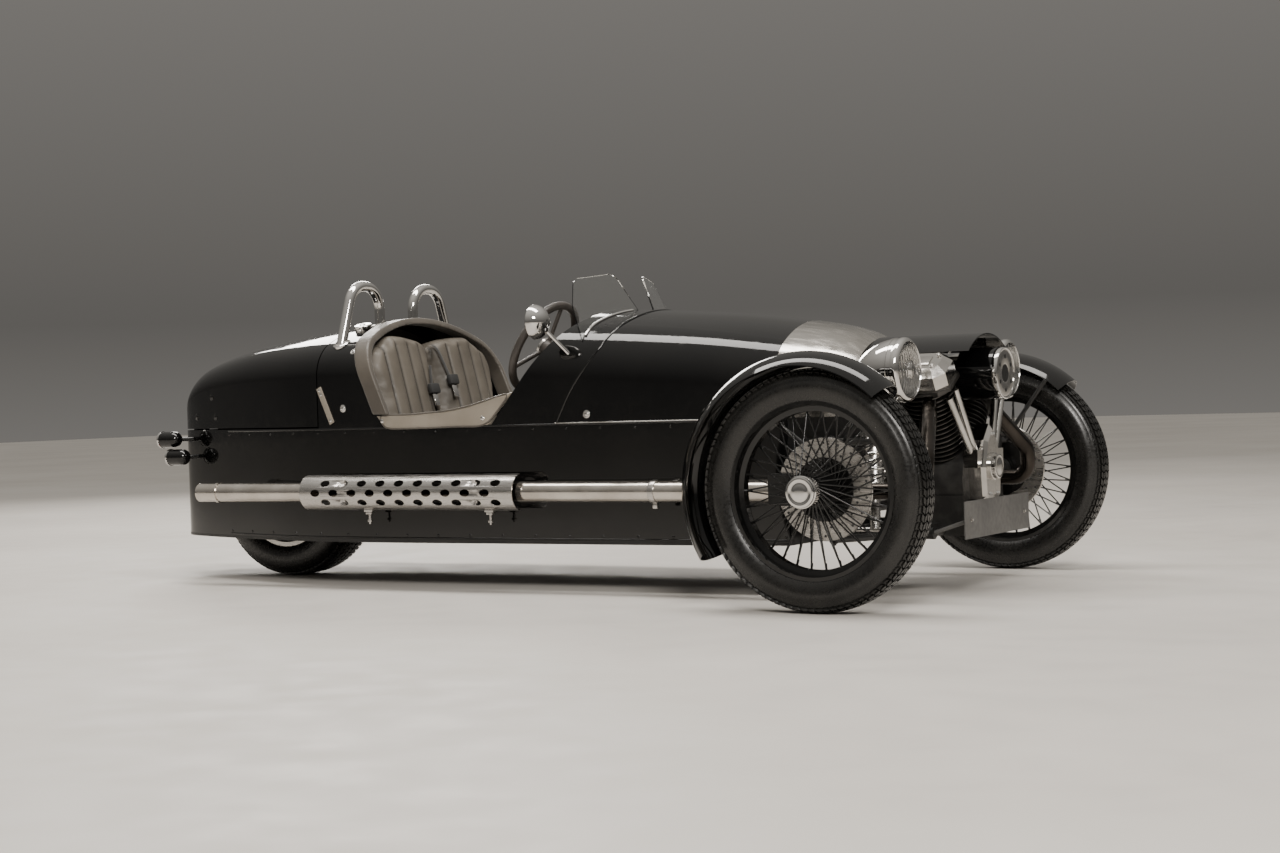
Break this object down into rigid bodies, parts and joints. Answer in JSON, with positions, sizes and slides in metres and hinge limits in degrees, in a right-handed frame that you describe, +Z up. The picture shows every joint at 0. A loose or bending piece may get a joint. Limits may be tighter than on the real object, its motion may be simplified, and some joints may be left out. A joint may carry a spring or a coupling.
{
  "type": "three wheeled car",
  "caption": "Open two-seat three wheeled car with an exposed V-twin in front, wire front wheels, side exhausts, roll hoops and a hinged tail lid.",
  "frame": {"origin": "middle of the footprint on the ground", "axes": "+X forward, +Y to the left, +Z up"},
  "size_m": [3.2849, 1.678, 1.0369],
  "materials": {
    "black_paint": "gloss",
    "polished": "polished",
    "cast_alloy": "satin",
    "chrome": "polished",
    "steel": "brushed",
    "dark_steel": "satin",
    "leather_tan": "matt",
    "tyre": "matt",
    "black_plastic": "matt",
    "clear": "clear",
    "red_lamp": "gloss",
    "carpet": "matt"
  },
  "bodies": {
    "car": {"tub_sides": "black_paint", "tub_tail": "black_paint", "tub_floor": "dark_steel", "front_bulkhead": "dark_steel", "bonnet_band": "polished", "bonnet": "black_paint", "scuttle": "black_paint", "rear_deck": "black_paint", "boot_wall": "black_plastic", "boot_floor": "carpet", "dashboard": "polished", "cockpit_roll": "leather_tan", "side_pads": "leather_tan", "tunnel": "carpet", "seat_backs": "leather_tan", "seat_cushions": "leather_tan", "aero_screens": "clear", "mirrors": "chrome", "roll_hoops": "chrome", "filler_cap": "chrome", "crankcase": "cast_alloy", "cylinders": "cast_alloy", "rocker_covers": "polished", "timing_cover": "polished", "air_cleaner": "black_paint", "engine_cover": "black_paint", "front_frame": "dark_steel", "wishbones": "dark_steel", "coilovers": "steel", "swing_arm": "dark_steel", "exhausts": "chrome", "heat_shields": "steel", "headlamps": "chrome", "front_plate": "black_plastic", "tail_lamps": "black_paint", "steering_column": "dark_steel"},
    "lid": {"tail_lid": "black_paint", "lid_lamp": "red_lamp"},
    "hand_wheel": {"steering_wheel": "leather_tan"},
    "rack": {"tie_rods": "steel"},
    "hub_right": {"upright_right": "dark_steel", "wing_right": "black_paint"},
    "hub_left": {"upright_left": "dark_steel", "wing_left": "black_paint"},
    "road_wheel_right": {"front_tyre_right": "tyre", "front_wheel_right": "black_paint"},
    "road_wheel_left": {"front_tyre_left": "tyre", "front_wheel_left": "black_paint"},
    "road_wheel_rear": {"rear_tyre": "tyre", "rear_wheel": "steel"}
  },
  "joints": [
    {"name": "steer_right", "type": "hinge", "parent": "car", "child": "hub_right", "pos_m": [1.312, -0.63, 0.339], "axis": [0, 0, 1], "range_deg": [-25, 25]},
    {"name": "steer_left", "type": "hinge", "parent": "car", "child": "hub_left", "pos_m": [1.312, 0.63, 0.339], "axis": [0, 0, 1], "range_deg": [-25, 25]},
    {"name": "hand_wheel_turn", "type": "hinge", "parent": "car", "child": "hand_wheel", "pos_m": [0.076, -0.196, 0.782], "axis": [-0.8704, 0, 0.4924], "range_deg": [-320, 320]},
    {"name": "rack_slide", "type": "slide", "parent": "car", "child": "rack", "axis": [0, 1, 0], "range_m": [-0.052, 0.052]},
    {"name": "wheel_right_spin", "type": "hinge", "parent": "hub_right", "child": "road_wheel_right", "pos_m": [1.312, -0.732, 0.339], "axis": [0, 1, 0], "continuous": true},
    {"name": "wheel_left_spin", "type": "hinge", "parent": "hub_left", "child": "road_wheel_left", "pos_m": [1.312, 0.732, 0.339], "axis": [0, 1, 0], "continuous": true},
    {"name": "wheel_rear_spin", "type": "hinge", "parent": "car", "child": "road_wheel_rear", "pos_m": [-1.138, 0, 0.311], "axis": [0, 1, 0], "continuous": true},
    {"name": "tail_lid_hinge", "type": "hinge", "parent": "car", "child": "lid", "pos_m": [-1.599, 0, 0.539], "axis": [0, -1, 0], "range_deg": [0, 65]}
  ],
  "couplings": [
    {"joint": "steer_left", "follows": "steer_right", "ratio": 1},
    {"joint": "hand_wheel_turn", "follows": "steer_right", "ratio": 12},
    {"joint": "rack_slide", "follows": "steer_right", "m_per_rad": -0.11623}
  ]
}
